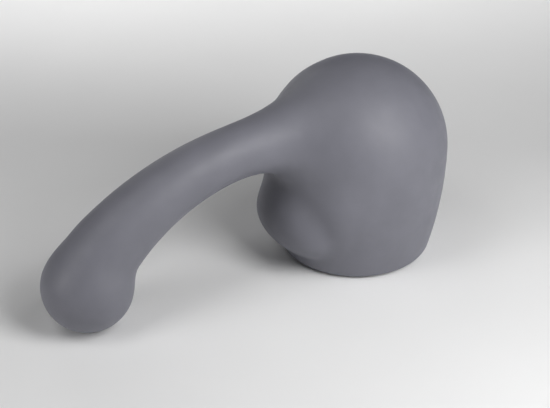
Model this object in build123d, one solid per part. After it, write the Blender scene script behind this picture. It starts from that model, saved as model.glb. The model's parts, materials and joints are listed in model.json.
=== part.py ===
"""Weighted silicone attachment for a wand massager.

A hollow silicone hood pulls over the round head of a wand. A curved arm leaves the hood's side
and ends in a ball tip. Steel weights on a bent rod are sealed inside the arm and the tip.

Frame: the origin is the centre of the hood's mouth, in the plane of its rim. +Z runs up the hood's
axis to the crown, and the arm reaches out along +X. Y = 0 is the plane of symmetry. Millimetres.
"""

from build123d import *
from math import atan2, cos, degrees, exp, radians, sin, sqrt, tan
import os

# Hood, outside
hood_r = 37.5              # at the equator
equator_z = 47.2
side_arc_r = 175.0         # the side narrows to the rim along this arc
rim_round = 3.0
hood_height = equator_z + hood_r

# Socket for the wand's head, inside the hood
socket_r = 29.5
socket_centre_z = 46.0
mouth_r = 25.0             # the lip that grips the wand's neck
ledge_z = 3.0              # the liner stands on the skin at this height
lip_land = 8.0             # straight length of the liner's lip
liner_wall = 2.5
rim_hole_r = 25.5          # the skin's own opening, just clear of the liner's lip
rim_hole_round = 1.0
rib_zs = (20.0, 28.0, 36.0)
rib_height = 1.0
rib_round = 1.6

# Arm centreline: a straight root inside the hood, then two arcs that bend down to the tip
arm_root_x = 30.0
arm_root_z = 58.5
arm_heading = 10.0                          # degrees above +X at the root
arm_bends = ((100.0, 52.4), (45.0, 24.6))   # radius, and degrees turned
arm_length = sum(radius * radians(turn) for radius, turn in arm_bends)

# Arm section: slender in the middle, thicker at the tip, flared where it meets the hood.
# Stations along the arm are millimetres past its root.
arm_mid_r = 10.6
arm_end_r = 16.6
arm_growth = 2.25          # power of the share of the arm's length
flare_r = 15.3
flare_station = -18.0
flare_length = 22.8
arm_start = -10.0          # the arm's first section, buried in the hood
section_count = 14

# Ball tip, resting on the same plane as the rim
tip_r = 18.0
tip_offset = 1.25          # the ball's centre lies this far inside the arm's line

# Low swelling on the hood's wall, under the arm
swell_x = 28.4
swell_z = 22.0
swell_r = 13.8
swell_half_width = 22.5

# Blends between those forms
hood_blend = 7.0
tip_blend = 6.0

# Saddle plate that holds the rod against the socket's dome
saddle_wall = 2.5
saddle_tilt = 24.0         # degrees above +X, seen from the socket's centre
saddle_half_angle = 33.0
key_hole_r = 2.0           # silicone flows through these holes and locks the plate
key_hole_angle = 24.0      # degrees off the saddle's axis
key_hole_count = 8
boss_r = 8.0
boss_start = -6.0
boss_end = 10.0

# Rod and its fasteners
rod_r = 3.0
rod_start = 2.0
rod_in_ball = 9.0          # length screwed into the ball weight
washer_r = 7.5
washer_thick = 1.6
nut_across_flats = 10.0
nut_thick = 5.0
nut_chamfer = 0.6

# Weights
weight_r = 7.5
weight_length = 12.0
weight_count = 5
weight_chamfer = 1.0
spacer_r = 4.8             # small enough to sit wholly on a nut's face
ball_weight_r = 13.0
ball_flat = 12.0           # the tip nut's seat, from the ball weight's centre

first_station = boss_end + washer_thick + nut_thick
seat_station = arm_length - ball_flat
last_station = seat_station - nut_thick
spacer_thick = (last_station - first_station - weight_count * weight_length) / (weight_count + 1)

UPWARD = (Align.CENTER, Align.CENTER, Align.MIN)
DOWNWARD = (Align.CENTER, Align.CENTER, Align.MAX)


def arm_station(s):
    """Point (x, z) and heading in degrees of the arm's centreline at station s."""
    heading = radians(arm_heading)
    x, z = arm_root_x, arm_root_z
    if s <= 0:
        return x + s * cos(heading), z + s * sin(heading), arm_heading
    for radius, turn in arm_bends:
        turned = min(s / radius, radians(turn))
        x += radius * (sin(heading) - sin(heading - turned))
        z += radius * (cos(heading - turned) - cos(heading))
        heading -= turned
        s -= turned * radius
    return x, z, degrees(heading)


def arm_point(s):
    x, z, _ = arm_station(s)
    return Vector(x, 0, z)


def arm_plane(s):
    """Plane across the arm at station s, with its normal along the arm."""
    x, z, heading = arm_station(s)
    ahead = Vector(cos(radians(heading)), 0, sin(radians(heading)))
    return Plane(origin=(x, 0, z), x_dir=(0, 1, 0), z_dir=ahead)


def arm_radius(s):
    thicker = (arm_end_r - arm_mid_r) * (max(s, 0) / arm_length) ** arm_growth
    return arm_mid_r + thicker + flare_r * exp(-(((s - flare_station) / flare_length) ** 2))


def tip_centre():
    x, _, heading = arm_station(arm_length)
    return Vector(x + tip_offset * sin(radians(heading)), 0, tip_r)


def arc_about(centre, start, end):
    """The short arc from start to end about centre, in a sketch's own coordinates."""
    (cx, cz), (sx, sz), (ex, ez) = centre, start, end
    radius = sqrt((sx - cx) ** 2 + (sz - cz) ** 2)
    angle = (atan2(sz - cz, sx - cx) + atan2(ez - cz, ex - cx)) / 2
    return ThreePointArc(start, (cx + radius * cos(angle), cz + radius * sin(angle)), end)


def turned(profile):
    """A profile in the XZ plane turned about Z, with its seam at -X, away from the arm."""
    return Rot(0, 0, 180) * revolve(profile.sketch, Axis.Z)


def hood_form():
    """The hood's outside as a full solid: domed crown, tapering side and rounded rim."""
    side_x = hood_r - side_arc_r
    inner_r = side_arc_r - rim_round
    round_x = side_x + sqrt(inner_r ** 2 - (equator_z - rim_round) ** 2)
    reach = side_arc_r / inner_r
    edge = (side_x + (round_x - side_x) * reach, equator_z + (rim_round - equator_z) * reach)
    with BuildSketch(Plane.XZ) as profile:
        with BuildLine():
            Line((0, 0), (round_x, 0))
            arc_about((round_x, rim_round), (round_x, 0), edge)
            arc_about((side_x, equator_z), edge, (hood_r, equator_z))
            arc_about((0, equator_z), (hood_r, equator_z), (0, hood_height))
            Line((0, hood_height), (0, 0))
        make_face()
    return turned(profile)


def socket_side():
    """Radius of the arc that widens the socket from its lip to its equator, on the inside."""
    rise, widen = socket_centre_z - ledge_z - lip_land, socket_r - mouth_r
    return (rise ** 2 + widen ** 2) / (2 * widen)


def socket_form(wall):
    """The socket grown by a wall: straight lip, widening side and domed end, from the ledge up."""
    lip_r, belly_r, lip_top = mouth_r + wall, socket_r + wall, ledge_z + lip_land
    crown = socket_centre_z + belly_r
    with BuildSketch(Plane.XZ) as profile:
        with BuildLine():
            Polyline((0, ledge_z), (lip_r, ledge_z), (lip_r, lip_top))
            arc_about((belly_r - socket_side(), socket_centre_z), (lip_r, lip_top), (belly_r, socket_centre_z))
            arc_about((0, socket_centre_z), (belly_r, socket_centre_z), (0, crown))
            Line((0, crown), (0, ledge_z))
        make_face()
    return turned(profile)


def swelling_form():
    """A spheroid, widest across the hood, whose outer part stands proud of the wall."""
    with BuildSketch(Plane.XY) as profile:
        Ellipse(swell_r, swell_half_width)
        Rectangle(swell_r, 2 * swell_half_width, align=(Align.MAX, Align.CENTER), mode=Mode.SUBTRACT)
    return Pos(swell_x, 0, swell_z) * revolve(profile.sketch, Axis.Y)


def arm_form():
    """The arm, lofted through round sections from inside the hood to its end in the ball."""
    step = (arm_length - arm_start) / (section_count - 1)
    stations = [arm_start + step * k for k in range(section_count)]
    return loft([arm_plane(s) * Circle(arm_radius(s)) for s in stations])


def outside_form():
    """Everything inside the skin's outer surface, with the forms blended into each other."""
    body = hood_form() + swelling_form() + arm_form()
    joins = body.edges().filter_by(GeomType.BSPLINE).filter_by_position(Axis.X, arm_start, boss_end + arm_root_x)
    body = fillet(joins, hood_blend)
    body += Pos(tip_centre()) * Sphere(tip_r)
    neck = body.edges().filter_by(GeomType.BSPLINE).group_by(Axis.X)[-1]
    return fillet(neck, tip_blend)


def make_rod():
    """Spring-steel rod along the arm's centreline, from the saddle into the ball weight."""
    first_radius, first_turn = arm_bends[0]
    bend_end = first_radius * radians(first_turn)
    rod_end = seat_station + rod_in_ball
    with BuildLine() as path:
        for start, end in ((rod_start, bend_end), (bend_end, rod_end)):
            ThreePointArc(arm_point(start), arm_point((start + end) / 2), arm_point(end))
    return sweep(arm_plane(rod_start) * Circle(rod_r), path.wire())


def make_liner():
    """Soft inner cup, with grip ribs round the part that holds the wand's head."""
    outside = socket_form(liner_wall)
    cup = outside - socket_form(0)
    for z in rib_zs:
        wall_r = socket_r - socket_side() + sqrt(socket_side() ** 2 - (socket_centre_z - z) ** 2)
        rib = Pos(0, 0, z) * Torus(wall_r + rib_round - rib_height, rib_round)
        cup += rib & outside
    return cup


def make_saddle(rod):
    """Rigid plate that lies on the liner's dome, with a boss that holds the rod."""
    outside_r = socket_r + liner_wall + saddle_wall
    reach = 2 * outside_r
    with BuildSketch(Plane.XZ) as section:
        with BuildLine():
            Polyline((0, 0), (reach * tan(radians(saddle_half_angle)), reach), (0, reach), close=True)
        make_face()
    tilt = radians(saddle_tilt)
    across = Plane(origin=(0, 0, socket_centre_z), x_dir=(0, 1, 0), z_dir=(cos(tilt), 0, sin(tilt)))
    plate = Pos(0, 0, socket_centre_z) * Sphere(outside_r) & across * revolve(section.sketch, Axis.Z)
    plate += arm_plane(boss_end) * Cylinder(boss_r, boss_end - boss_start, align=DOWNWARD)
    for k in range(key_hole_count):
        around = Rot(0, 0, 360 * k / key_hole_count) * Rot(0, key_hole_angle, 0)
        plate -= across * around * Cylinder(key_hole_r, reach, align=UPWARD)
    return plate - socket_form(liner_wall) - rod


def make_washer(rod):
    return arm_plane(boss_end) * Cylinder(washer_r, washer_thick, align=UPWARD) - rod


def make_nut(near_face, rod):
    """A hexagon nut on the rod, with the face nearer the hood on the plane near_face."""
    blank = extrude(RegularPolygon(nut_across_flats / 2, 6, major_radius=False), nut_thick)
    turned_blank = Cylinder(nut_across_flats / sqrt(3), nut_thick, align=UPWARD)
    turned_blank = chamfer(turned_blank.edges().filter_by(GeomType.CIRCLE), nut_chamfer)
    return near_face * (blank & turned_blank) - rod


def make_weight(k, rod):
    """Steel weight number k, counted from the hood, threaded on the rod."""
    middle = first_station + spacer_thick + k * (weight_length + spacer_thick) + weight_length / 2
    weight = Cylinder(weight_r, weight_length)
    weight = chamfer(weight.edges().filter_by(GeomType.CIRCLE), weight_chamfer)
    return arm_plane(middle) * weight - rod


def make_spacer(k, rod, neighbours):
    """Soft spacer number k, squeezed between its neighbours, so its faces follow theirs."""
    middle = first_station + k * (weight_length + spacer_thick) + spacer_thick / 2
    spacer = arm_plane(middle) * Cylinder(spacer_r, 2 * spacer_thick) - rod
    for neighbour in neighbours:
        spacer -= neighbour
    return max(spacer.solids(), key=lambda solid: solid.volume)


def make_ball_weight(rod):
    """Steel ball in the tip, with a flat seat for the nut and a hole for the rod."""
    beyond = arm_plane(seat_station) * Cylinder(2 * ball_weight_r, ball_weight_r + ball_flat, align=UPWARD)
    return (Pos(arm_point(arm_length)) * Sphere(ball_weight_r) & beyond) - rod


def make_skin(core):
    """One moulding of soft silicone over everything else: hood, arm, tip and rim."""
    opening = Cylinder(rim_hole_r, ledge_z, align=UPWARD)
    skin = outside_form() - opening - socket_form(liner_wall)
    mouth_edge = skin.edges().filter_by(GeomType.CIRCLE).group_by(Axis.Z)[0].sort_by(SortBy.RADIUS)[0]
    skin = fillet(mouth_edge, rim_hole_round)
    for piece in core:
        skin -= piece
    return skin


def main():
    os.makedirs("parts", exist_ok=True)
    rod = make_rod()
    parts = {
        "spine_rod": rod,
        "saddle_plate": make_saddle(rod),
        "root_washer": make_washer(rod),
        "root_nut": make_nut(arm_plane(boss_end).offset(washer_thick), rod),
        "tip_nut": make_nut(arm_plane(seat_station).offset(-nut_thick), rod),
        "tip_weight": make_ball_weight(rod),
    }
    train = [parts["root_nut"]]
    for k in range(weight_count):
        parts[f"arm_weight_{k + 1}"] = make_weight(k, rod)
        train.append(parts[f"arm_weight_{k + 1}"])
    train.append(parts["tip_nut"])
    for k in range(weight_count + 1):
        parts[f"arm_spacer_{k + 1}"] = make_spacer(k, rod, train[k:k + 2])
    parts["outer_skin"] = make_skin(parts.values())
    parts["socket_liner"] = make_liner()
    for name, shape in parts.items():
        print(f"{name}: {shape.volume:.0f} mm3, {len(shape.solids())} solid")
        export_step(shape, f"parts/{name}.step")


main()
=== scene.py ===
"""A weighted silicone attachment for a wand massager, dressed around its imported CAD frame.

The skin is one smooth surface, found from a distance field whose forms melt into each other. The socket's
liner is turned from its profile. The sealed steel core keeps its CAD meshes. Lengths are in millimetres
until a mesh is made, and then in metres, as the frame is. Lamps and camera are placed in metres.
"""

import json
from math import cos, pi, radians, sin

import bpy
import numpy as np
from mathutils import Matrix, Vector


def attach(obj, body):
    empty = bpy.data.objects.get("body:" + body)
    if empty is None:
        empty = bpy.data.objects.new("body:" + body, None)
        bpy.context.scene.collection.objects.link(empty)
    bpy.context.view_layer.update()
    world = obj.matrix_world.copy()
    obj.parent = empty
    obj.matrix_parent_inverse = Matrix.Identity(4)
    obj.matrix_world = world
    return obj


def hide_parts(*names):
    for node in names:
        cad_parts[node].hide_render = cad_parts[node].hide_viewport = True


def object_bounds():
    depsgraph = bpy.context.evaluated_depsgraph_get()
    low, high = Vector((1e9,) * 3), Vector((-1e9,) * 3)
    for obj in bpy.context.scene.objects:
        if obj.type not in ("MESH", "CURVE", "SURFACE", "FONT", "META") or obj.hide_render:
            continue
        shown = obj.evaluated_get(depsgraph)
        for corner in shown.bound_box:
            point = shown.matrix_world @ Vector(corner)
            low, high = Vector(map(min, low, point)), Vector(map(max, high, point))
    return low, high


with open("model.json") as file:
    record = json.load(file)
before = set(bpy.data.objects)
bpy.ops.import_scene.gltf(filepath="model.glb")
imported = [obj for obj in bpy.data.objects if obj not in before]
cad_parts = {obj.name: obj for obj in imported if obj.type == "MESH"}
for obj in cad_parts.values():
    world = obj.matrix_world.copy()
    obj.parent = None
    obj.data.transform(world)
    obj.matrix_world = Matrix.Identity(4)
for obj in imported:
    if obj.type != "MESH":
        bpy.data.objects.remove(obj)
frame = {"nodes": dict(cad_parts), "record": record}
cad_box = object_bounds()

MM = 0.001
TINY = 1e-9

# Hood
HOOD_R = 37.5
EQUATOR_Z = 47.2
SIDE_ARC_R = 175.0
RIM_ROUND = 3.0

# Socket and liner
SOCKET_R = 29.5
SOCKET_Z = 46.0
MOUTH_R = 25.0
LEDGE_Z = 3.0
LIP_LAND = 8.0
LINER_WALL = 2.5
RIM_HOLE_R = 25.5
RIM_HOLE_ROUND = 1.0
RIB_ZS = (20.0, 28.0, 36.0)
RIB_HEIGHT = 1.0
RIB_ROUND = 1.6

# Arm: it starts inside the hood, at a station before its root
ARM_START = -25.0
ARM_ROOT = (30.0, 58.5)
ARM_HEADING = radians(10.0)
ARM_BENDS = ((100.0, radians(52.4)), (45.0, radians(24.6)))
ARM_MID_R = 10.6
ARM_END_R = 16.6
ARM_GROWTH = 2.25
FLARE_R = 15.3
FLARE_STATION = -18.0
FLARE_LENGTH = 22.8
ARM_LENGTH = sum(radius * turn for radius, turn in ARM_BENDS)

# Ball tip
TIP_R = 18.0
TIP_OFFSET = 1.25

# Under the arm the wall swells out: a broad shoulder, and on it a ridge that sags towards its two ends
SHOULDER_CENTRE = (20.3, 30.4)
SHOULDER_RADII = (9.3, 25.3, 19.0)
RIDGE_CENTRE = (30.3, 22.5)
RIDGE_RADII = (12.7, 21.9, 15.1)
RIDGE_SAG = 0.007

# How far each pair of forms melts together
MELT_ARM = 6.0
MELT_TIP = 4.0
MELT_SHOULDER = 13.1
MELT_RIDGE_LOW = 3.5
MELT_RIDGE_HIGH = 8.0

# Sealed core, and the gap between it and the pocket that holds it
POCKET_GAP = 0.2
TRAIN_R = 7.5
TRAIN_START = -6.0
BALL_WEIGHT_R = 13.0
SADDLE_WALL = 2.5
SADDLE_TILT = radians(24.0)
SADDLE_HALF_ANGLE = radians(33.0)

# Skin mesh: the size of its cells, the space searched round the CAD box, and the passes that even it out
CELL = 1.0
MARGIN = 3.0
EVEN_ROUNDS = 8
SETTLE_ROUNDS = 3
PULL = 0.5
LEAST_STEEPNESS = 0.05

# Liner mesh: points up the side, round the dome and along the lip's land, steps round the axis, and how many
# inside points up the side there are for each outside one
SIDE_POINTS = 141
DOME_POINTS = 49
LAND_POINTS = 9
TURN_STEPS = 180
OUTSIDE_SKIP = 3


# ---------------------------------------------------------------- the skin's distance field

def melt(a, b, width):
    """The union of two forms, with the crease between them filled over a width."""
    overlap = np.maximum(width - np.abs(a - b), 0) / width
    return np.minimum(a, b) - overlap * overlap * width / 4


def cut_round(a, b, radius):
    """Where both forms hold, with the edge between them rounded."""
    corner = np.hypot(np.maximum(a + radius, 0), np.maximum(b + radius, 0))
    return np.minimum(-radius, np.maximum(a, b)) + corner


def turned_form(r, z, belly_r, centre_z, side_r):
    """A dome above centre_z, on a side that narrows below it along a large arc."""
    above = z - centre_z
    dome = np.hypot(r, above) - belly_r
    side = np.hypot(r - belly_r + side_r, above) - side_r
    return np.where(above > 0, dome, side)


def hood_field(x, y, z):
    wall = turned_form(np.hypot(x, y), z, HOOD_R, EQUATOR_Z, SIDE_ARC_R)
    return cut_round(wall, -z, RIM_ROUND)


def arm_frames():
    """Each arc of the arm: centre, radius, heading where it starts, turn and first station. Then the end."""
    x, z = ARM_ROOT
    heading, station = ARM_HEADING, 0.0
    arcs = []
    for radius, turn in ARM_BENDS:
        cx, cz = x + radius * sin(heading), z - radius * cos(heading)
        arcs.append((cx, cz, radius, heading, turn, station))
        heading -= turn
        station += radius * turn
        x, z = cx - radius * sin(heading), cz + radius * cos(heading)
    return arcs, (x, z, heading)


def along_arm(x, y, z):
    """Station along the arm's line, and distance from that line."""
    arcs, _ = arm_frames()
    ahead = (x - ARM_ROOT[0]) * cos(ARM_HEADING) + (z - ARM_ROOT[1]) * sin(ARM_HEADING)
    across = (z - ARM_ROOT[1]) * cos(ARM_HEADING) - (x - ARM_ROOT[0]) * sin(ARM_HEADING)
    station, aside = ahead, across ** 2
    for cx, cz, radius, heading, turn, first in arcs:
        turned = heading - np.arctan2(z - cz, x - cx) + pi / 2
        at = np.minimum(turned, turn)
        qx, qz = cx - radius * np.sin(heading - at), cz + radius * np.cos(heading - at)
        here = (turned > 0) & (ahead > 0)
        station = np.where(here, first + radius * at, station)
        aside = np.where(here, (x - qx) ** 2 + (z - qz) ** 2, aside)
    return station, np.sqrt(aside + y * y)


def arm_radius(station):
    share = np.clip(station / ARM_LENGTH, 0, 1)
    flare = FLARE_R * np.exp(-(((station - FLARE_STATION) / FLARE_LENGTH) ** 2))
    return ARM_MID_R + (ARM_END_R - ARM_MID_R) * share ** ARM_GROWTH + flare


def arm_field(x, y, z):
    station, aside = along_arm(x, y, z)
    return np.maximum(aside - arm_radius(station), ARM_START - station)


def tip_place():
    _, (x, _, heading) = arm_frames()
    return x + TIP_OFFSET * sin(heading), TIP_R


def ball_field(x, y, z, centre, radius):
    return np.sqrt((x - centre[0]) ** 2 + y * y + (z - centre[1]) ** 2) - radius


def ellipsoid_field(x, y, z, centre, radii):
    """An ellipsoid's field, scaled by its slope so that it is a true distance near the surface."""
    (cx, cz), (a, b, c) = centre, radii
    px, py, pz = (x - cx) / a, y / b, (z - cz) / c
    size = np.sqrt(px * px + py * py + pz * pz) + TINY
    slope = np.sqrt((px / a) ** 2 + (py / b) ** 2 + (pz / c) ** 2) + TINY
    return size * (size - 1) / slope


def ridge_melt_width(z):
    """The ridge melts into the wall over one width at its foot and another at its top."""
    height = RIDGE_RADII[2]
    foot = RIDGE_CENTRE[1] - height
    share = np.clip((z - foot) / (2 * height), 0, 1)
    return MELT_RIDGE_LOW + (MELT_RIDGE_HIGH - MELT_RIDGE_LOW) * share


def outside_field(x, y, z):
    shoulder = ellipsoid_field(x, y, z, SHOULDER_CENTRE, SHOULDER_RADII)
    ridge = ellipsoid_field(x, y, z + RIDGE_SAG * y * y, RIDGE_CENTRE, RIDGE_RADII)
    hood = melt(hood_field(x, y, z), shoulder, MELT_SHOULDER)
    hood = melt(hood, ridge, ridge_melt_width(z))
    arm = melt(arm_field(x, y, z), ball_field(x, y, z, tip_place(), TIP_R), MELT_TIP)
    return np.maximum(melt(hood, arm, MELT_ARM), -z)


def socket_side():
    """Radius of the arc up the socket's side, which widens from the lip to the dome."""
    rise, widen = SOCKET_Z - LEDGE_Z - LIP_LAND, SOCKET_R - MOUTH_R
    return (rise ** 2 + widen ** 2) / (2 * widen)


def socket_field(x, y, z):
    """The space inside the skin that the liner fills, with the opening in the rim below it."""
    r = np.hypot(x, y)
    cup = turned_form(r, z, SOCKET_R + LINER_WALL, SOCKET_Z, socket_side())
    lip = r - MOUTH_R - LINER_WALL
    cup = np.where(z < LEDGE_Z + LIP_LAND, lip, cup)
    return np.minimum(np.maximum(cup, LEDGE_Z - z), np.maximum(r - RIM_HOLE_R, z - SOCKET_Z))


def core_field(x, y, z):
    """The pocket round the saddle plate, the train of weights on its rod, and the ball weight."""
    station, aside = along_arm(x, y, z)
    _, (ex, ez, _) = arm_frames()
    train = np.maximum(aside - TRAIN_R, TRAIN_START - station)
    train = np.maximum(train, station - ARM_LENGTH)
    core = np.minimum(train, ball_field(x, y, z, (ex, ez), BALL_WEIGHT_R))
    from_socket = np.sqrt(x * x + y * y + (z - SOCKET_Z) ** 2) + TINY
    along_tilt = x * cos(SADDLE_TILT) + (z - SOCKET_Z) * sin(SADDLE_TILT)
    off_axis = np.arccos(np.clip(along_tilt / from_socket, -1, 1))
    shell = from_socket - SOCKET_R - LINER_WALL - SADDLE_WALL
    saddle = np.maximum(shell, (off_axis - SADDLE_HALF_ANGLE) * from_socket)
    return np.minimum(core, saddle) - POCKET_GAP


def skin_field(x, y, z):
    hollow = np.minimum(socket_field(x, y, z), core_field(x, y, z))
    return cut_round(outside_field(x, y, z), -hollow, RIM_HOLE_ROUND)


# ---------------------------------------------------------------- meshes

def cut_edges(value, axes, axis):
    """Grid edges along an axis that the surface cuts: their lower corners, and where each is cut."""
    low = [slice(None)] * 3
    high = [slice(None)] * 3
    low[axis], high[axis] = slice(None, -1), slice(1, None)
    a, b = value[tuple(low)], value[tuple(high)]
    index = np.argwhere((a < 0) != (b < 0))
    a, b = a[tuple(index.T)], b[tuple(index.T)]
    place = np.stack([axes[k][index[:, k]] for k in range(3)], 1)
    place[:, axis] += a / (a - b) * (axes[axis][1] - axes[axis][0])
    return index, place, a < 0


def surface_net(field, low, high, cell):
    """Quads over a field's zero surface: a vertex in each cell it crosses and a quad on each edge it cuts."""
    axes = [np.arange(a, b + cell, cell) for a, b in zip(low, high)]
    value = field(*np.meshgrid(*axes, indexing="ij"))
    total = np.zeros([n - 1 for n in value.shape] + [4])
    rings = []
    for axis in range(3):
        u, v = (axis + 1) % 3, (axis + 2) % 3
        index, place, starts_inside = cut_edges(value, axes, axis)
        ring = []
        for du, dv in ((-1, -1), (0, -1), (0, 0), (-1, 0)):
            cell_index = index.copy()
            cell_index[:, u] += du
            cell_index[:, v] += dv
            np.add.at(total, tuple(cell_index.T), np.column_stack([place, np.ones(len(place))]))
            ring.append(np.ravel_multi_index(tuple(cell_index.T), total.shape[:3]))
        ring = np.stack(ring, 1)
        rings.append(np.where(starts_inside[:, None], ring, ring[:, ::-1]))
    total = total.reshape(-1, 4)
    used = np.flatnonzero(total[:, 3])
    number = np.full(len(total), -1)
    number[used] = np.arange(len(used))
    return total[used, :3] / total[used, 3:], number[np.concatenate(rings)]


def slope_of(field, points, step=0.05):
    ahead = np.stack([field(*(points + step * side).T) for side in np.eye(3)], 1)
    behind = np.stack([field(*(points - step * side).T) for side in np.eye(3)], 1)
    return (ahead - behind) / (2 * step)


def settle(field, points, rounds, reach=0.4):
    """Moves points onto the field's zero surface, by no more than reach in a round."""
    for _ in range(rounds):
        slope = slope_of(field, points)
        steep = np.maximum((slope ** 2).sum(1), LEAST_STEEPNESS)
        move = -field(*points.T)[:, None] * slope / steep[:, None]
        length = np.linalg.norm(move, axis=1, keepdims=True)
        points = points + move * np.minimum(1, reach / np.maximum(length, TINY))
    return points


def even_out(field, points, quads, rounds):
    """Slides points towards their neighbours' middle, and back onto the surface, so the quads are even."""
    ends = np.concatenate([quads[:, [k, (k + 1) % 4]] for k in range(4)])
    count = np.bincount(ends[:, 0], minlength=len(points))[:, None]
    for _ in range(rounds):
        middle = np.stack([np.bincount(ends[:, 0], points[ends[:, 1], k], len(points)) for k in range(3)], 1)
        points = settle(field, points + PULL * (middle / count - points), 1)
    return settle(field, points, SETTLE_ROUNDS)


def mesh_object(name, points, faces):
    """A smooth-shaded object from points in millimetres."""
    mesh = bpy.data.meshes.new(name)
    mesh.from_pydata((np.asarray(points) * MM).tolist(), [], [list(map(int, face)) for face in faces])
    mesh.validate()
    mesh.shade_smooth()
    piece = bpy.data.objects.new(name, mesh)
    bpy.context.scene.collection.objects.link(piece)
    return piece


def make_skin():
    cell = CELL
    low, high = (np.array(corner) / MM for corner in cad_box)
    points, quads = surface_net(skin_field, low - MARGIN, high + MARGIN, cell)
    points = even_out(skin_field, points, quads, EVEN_ROUNDS)
    return mesh_object("silicone_skin", points, quads)


def liner_profile():
    """The liner's outline as (r, z) points, up the inside and down the outside, and the first outside row."""
    lip_top = LEDGE_Z + LIP_LAND
    heights = np.linspace(lip_top, SOCKET_Z, SIDE_POINTS)
    wall = SOCKET_R - socket_side() + np.sqrt(socket_side() ** 2 - (SOCKET_Z - heights) ** 2)
    inside = wall.copy()
    for z in RIB_ZS:
        wall_r = np.interp(z, heights, wall)
        rise = np.sqrt(np.maximum(RIB_ROUND ** 2 - (heights - z) ** 2, 0))
        inside = np.where(rise > 0, np.minimum(inside, wall_r + RIB_ROUND - RIB_HEIGHT - rise), inside)
    dome = np.linspace(0, pi / 2, DOME_POINTS)[1:-1]
    belly = SOCKET_R + LINER_WALL
    lip_r = MOUTH_R + LINER_WALL
    land = np.linspace(LEDGE_Z, lip_top, LAND_POINTS)[:-1]
    outline = [(MOUTH_R, z) for z in land]
    outline += list(zip(inside, heights))
    outline += [(SOCKET_R * cos(a), SOCKET_Z + SOCKET_R * sin(a)) for a in dome]
    first_outside = len(outline)
    outline += [(belly * cos(a), SOCKET_Z + belly * sin(a)) for a in dome[::-1]]
    outline += list(zip(wall[::-OUTSIDE_SKIP] + LINER_WALL, heights[::-OUTSIDE_SKIP]))
    outline += [(lip_r, z) for z in land[::-1]]
    return outline, first_outside


def band_faces(row, after):
    """Quads between two rings of a turned form."""
    faces = []
    for k in range(TURN_STEPS):
        step = (k + 1) % TURN_STEPS
        here, there = row * TURN_STEPS, after * TURN_STEPS
        faces.append((here + k, there + k, there + step, here + step))
    return faces


def cap_faces(row, pole):
    """Triangles from a ring to its pole, facing up."""
    start = row * TURN_STEPS
    return [(start + k, start + (k + 1) % TURN_STEPS, pole) for k in range(TURN_STEPS)]


def make_liner():
    outline, first_outside = liner_profile()
    angles = np.linspace(0, 2 * pi, TURN_STEPS, endpoint=False)
    points = [(r * cos(a), r * sin(a), z) for r, z in outline for a in angles]
    faces = []
    for row in range(len(outline)):
        after = (row + 1) % len(outline)
        if after != first_outside:
            faces += band_faces(row, after)
    inner_pole, outer_pole = len(points), len(points) + 1
    points.append((0, 0, SOCKET_Z + SOCKET_R))
    points.append((0, 0, SOCKET_Z + SOCKET_R + LINER_WALL))
    faces += [face[::-1] for face in cap_faces(first_outside - 1, inner_pole)]
    faces += cap_faces(first_outside, outer_pole)
    return mesh_object("silicone_liner", points, faces)


# ---------------------------------------------------------------- materials

class Shader:
    """Short calls for building one node material. Noise is read from LOW to HIGH, where most of it lies."""

    LOW, HIGH = 0.3, 0.7

    def __init__(self, name):
        self.material = bpy.data.materials.new(name)
        self.material.use_nodes = True
        self.tree = self.material.node_tree
        self.surface = self.tree.nodes["Principled BSDF"]
        coordinates = self.tree.nodes.new("ShaderNodeTexCoord")
        self.place = coordinates.outputs["Object"]

    def fixed(self, **values):
        for name, value in values.items():
            self.surface.inputs[name.replace("_", " ")].default_value = value

    def node(self, kind, links=(), **settings):
        made = self.tree.nodes.new(kind)
        for name, value in settings.items():
            made.inputs[name].default_value = value
        for socket, source in links:
            self.tree.links.new(source, made.inputs[socket])
        return made

    def noise(self, size_mm, detail=3.0):
        """Noise whose lumps are about size_mm across, from 0 to 1."""
        scale = 1 / (size_mm * MM)
        made = self.node("ShaderNodeTexNoise", [("Vector", self.place)], Scale=scale, Detail=detail)
        return made.outputs["Fac"]

    def spread(self, source, low, high):
        made = self.node("ShaderNodeMapRange", [("Value", source)])
        limits = (self.LOW, self.HIGH, low, high)
        for name, value in zip(("From Min", "From Max", "To Min", "To Max"), limits):
            made.inputs[name].default_value = value
        return made.outputs["Result"]

    def blend_colours(self, source, dark, light):
        ramp = self.node("ShaderNodeValToRGB", [("Fac", source)])
        for stop, (place, colour) in zip(ramp.color_ramp.elements, ((self.LOW, dark), (self.HIGH, light))):
            stop.position = place
            stop.color = (*colour, 1.0)
        return ramp.outputs["Color"]

    def bump(self, layers):
        """Stacks bumps: each layer is a height source and its depth in millimetres."""
        normal = None
        for source, depth_mm in layers:
            made = self.node("ShaderNodeBump", [("Height", source)], Strength=1.0, Distance=depth_mm * MM)
            if normal is not None:
                self.tree.links.new(normal, made.inputs["Normal"])
            normal = made.outputs["Normal"]
        self.tree.links.new(normal, self.surface.inputs["Normal"])

    def feed(self, name, source):
        self.tree.links.new(source, self.surface.inputs[name])


# Silicone finishes: dark and light colours, roughness and sheen
SKIN_FINISH = ((0.160, 0.160, 0.186), (0.178, 0.178, 0.206), 0.50, 0.10)
LINER_FINISH = ((0.095, 0.095, 0.112), (0.115, 0.115, 0.135), 0.45, 0.12)
ROUGHNESS_SPREAD = 0.05


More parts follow.
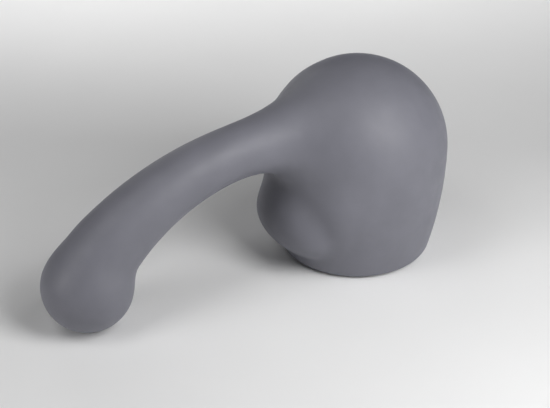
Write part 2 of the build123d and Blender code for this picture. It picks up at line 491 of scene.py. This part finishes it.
def silicone(name, dark, light, roughness, sheen):
    """Matte silicone from a blasted mould: fine grain, faint cloudiness and a soft powdery sheen."""
    shader = Shader(name)
    shader.fixed(Sheen_Weight=sheen, Sheen_Roughness=0.35, Sheen_Tint=(0.78, 0.84, 1.0, 1.0), IOR=1.41)
    cloud = shader.noise(size_mm=14.0, detail=4.0)
    grain = shader.noise(size_mm=0.45, detail=2.0)
    patches = shader.noise(size_mm=5.0)
    shader.feed("Base Color", shader.blend_colours(cloud, dark, light))
    smoother, rougher = roughness - ROUGHNESS_SPREAD, roughness + ROUGHNESS_SPREAD
    shader.feed("Roughness", shader.spread(patches, smoother, rougher))
    shader.bump([(cloud, 0.05), (grain, 0.012)])
    return shader.material


def steel():
    """Turned and zinc-plated steel, with dull patches and a fine grain."""
    shader = Shader("turned_steel")
    shader.fixed(Metallic=1.0)
    patches = shader.noise(size_mm=6.0)
    grain = shader.noise(size_mm=0.25, detail=2.0)
    shader.feed("Base Color", shader.blend_colours(patches, (0.42, 0.43, 0.44), (0.60, 0.61, 0.62)))
    shader.feed("Roughness", shader.spread(patches, 0.24, 0.42))
    shader.bump([(grain, 0.01)])
    return shader.material


def nylon():
    """Moulded natural nylon: warm off-white with a fine sparked texture."""
    shader = Shader("moulded_nylon")
    cloud = shader.noise(size_mm=8.0)
    shader.feed("Base Color", shader.blend_colours(cloud, (0.56, 0.54, 0.48), (0.66, 0.64, 0.59)))
    shader.feed("Roughness", shader.spread(cloud, 0.42, 0.55))
    shader.bump([(shader.noise(size_mm=0.3), 0.02)])
    return shader.material


def spacer_rubber():
    """Black rubber with a dusty bloom."""
    shader = Shader("spacer_rubber")
    bloom = shader.noise(size_mm=2.5)
    shader.feed("Base Color", shader.blend_colours(bloom, (0.020, 0.020, 0.021), (0.045, 0.044, 0.043)))
    shader.feed("Roughness", shader.spread(bloom, 0.6, 0.8))
    shader.bump([(shader.noise(size_mm=0.3), 0.02)])
    return shader.material


def floor_paper():
    """Pale matt studio paper."""
    shader = Shader("studio_paper")
    tone = shader.noise(size_mm=120.0)
    shader.feed("Base Color", shader.blend_colours(tone, (0.80, 0.80, 0.80), (0.83, 0.83, 0.83)))
    shader.feed("Roughness", shader.spread(tone, 0.85, 0.95))
    return shader.material


def dress(piece, material):
    piece.data.materials.clear()
    piece.data.materials.append(material)


def dress_core():
    """Gives each sealed CAD node its material by its slot in the record."""
    finishes = {"steel": steel(), "nylon": nylon(), "spacer_rubber": spacer_rubber()}
    for part in frame["record"]["subparts"]:
        if part["material_slot"] in finishes:
            mesh = frame["nodes"][part["node"]].data
            for slot in range(len(mesh.materials)):
                mesh.materials[slot] = finishes[part["material_slot"]]


# ---------------------------------------------------------------- camera, light and floor

# The camera's azimuth runs from +Y towards +X
AZIMUTH, ELEVATION = radians(30.24), radians(30.82)
AIM = Vector((0.045, 0.0, 0.035))
DISTANCE = 0.699
LENS_MM, SENSOR_MM = 112.1, 36.0
SHIFT_X, SHIFT_Y = 0.021, -0.0138
CLIP_NEAR, CLIP_FAR = 0.01, 20.0

# Each soft lamp: name, azimuth from +X and elevation in degrees, distance, side and watts
LAMPS = (
    ("key_low", 118, 14, 0.40, 0.22, 0.40),
    ("key_high", 105, 40, 0.40, 0.22, 1.10),
    ("arm_fill", 0, 16, 0.50, 0.22, 0.60),
    ("far_high", 125, 60, 1.20, 0.50, 1.8),
    ("rear_rim", -90, 20, 0.40, 0.20, 0.14),
    ("overhead", 0, 60, 1.20, 0.50, 2.2),
)
LAMP_AIM = Vector((0.03, 0.0, 0.04))
BACKDROP_PLACE = Vector((-0.15, -0.35, 0.45))
BACKDROP_AIM = Vector((-0.50, -0.95, 0.0))
BACKDROP_SIDE = 0.50
BACKDROP_WATTS = 3.2
AMBIENT = 0.01
AMBIENT_COLOUR = (0.96, 0.98, 1.0, 1.0)

# Half the floor's side, in millimetres
FLOOR_REACH = 6000.0


def point_at(thing, target):
    thing.rotation_euler = (target - thing.location).to_track_quat("-Z", "Y").to_euler()


def make_camera():
    level = cos(ELEVATION)
    back = Vector((sin(AZIMUTH) * level, cos(AZIMUTH) * level, sin(ELEVATION)))
    data = bpy.data.cameras.new("camera")
    data.sensor_width = SENSOR_MM
    data.lens = LENS_MM
    data.shift_x = SHIFT_X
    data.shift_y = SHIFT_Y
    data.clip_start = CLIP_NEAR
    data.clip_end = CLIP_FAR
    camera = bpy.data.objects.new("camera", data)
    bpy.context.scene.collection.objects.link(camera)
    camera.location = AIM + back * DISTANCE
    point_at(camera, AIM)
    bpy.context.scene.camera = camera


def add_lamp(name, place, target, side, watts):
    """A square soft lamp that faces the target."""
    data = bpy.data.lights.new(name, "AREA")
    data.shape = "SQUARE"
    data.size = side
    data.energy = watts
    lamp = bpy.data.objects.new(name, data)
    bpy.context.scene.collection.objects.link(lamp)
    lamp.location = place
    point_at(lamp, target)


def light_scene():
    for name, azimuth, elevation, distance, side, watts in LAMPS:
        turn, rise = radians(azimuth), radians(elevation)
        direction = Vector((cos(turn) * cos(rise), sin(turn) * cos(rise), sin(rise)))
        add_lamp(name, LAMP_AIM + distance * direction, LAMP_AIM, side, watts)
    add_lamp("backdrop", BACKDROP_PLACE, BACKDROP_AIM, BACKDROP_SIDE, BACKDROP_WATTS)
    world = bpy.data.worlds.new("studio")
    bpy.context.scene.world = world
    world.use_nodes = True
    background = world.node_tree.nodes["Background"]
    background.inputs["Color"].default_value = AMBIENT_COLOUR
    background.inputs["Strength"].default_value = AMBIENT
    bpy.context.scene.view_settings.view_transform = "Standard"


def make_floor():
    corners = [(FLOOR_REACH * x, FLOOR_REACH * y, 0) for x, y in ((-1, -1), (1, -1), (1, 1), (-1, 1))]
    floor = mesh_object("floor", corners, [(0, 1, 2, 3)])
    dress(floor, floor_paper())


def make_pieces():
    skin = make_skin()
    dress(skin, silicone("slate_silicone", *SKIN_FINISH))
    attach(skin, "root")
    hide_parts("outer_skin")
    liner = make_liner()
    dress(liner, silicone("liner_silicone", *LINER_FINISH))
    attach(liner, "root")
    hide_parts("socket_liner")


make_camera()
light_scene()
make_floor()
make_pieces()
dress_core()
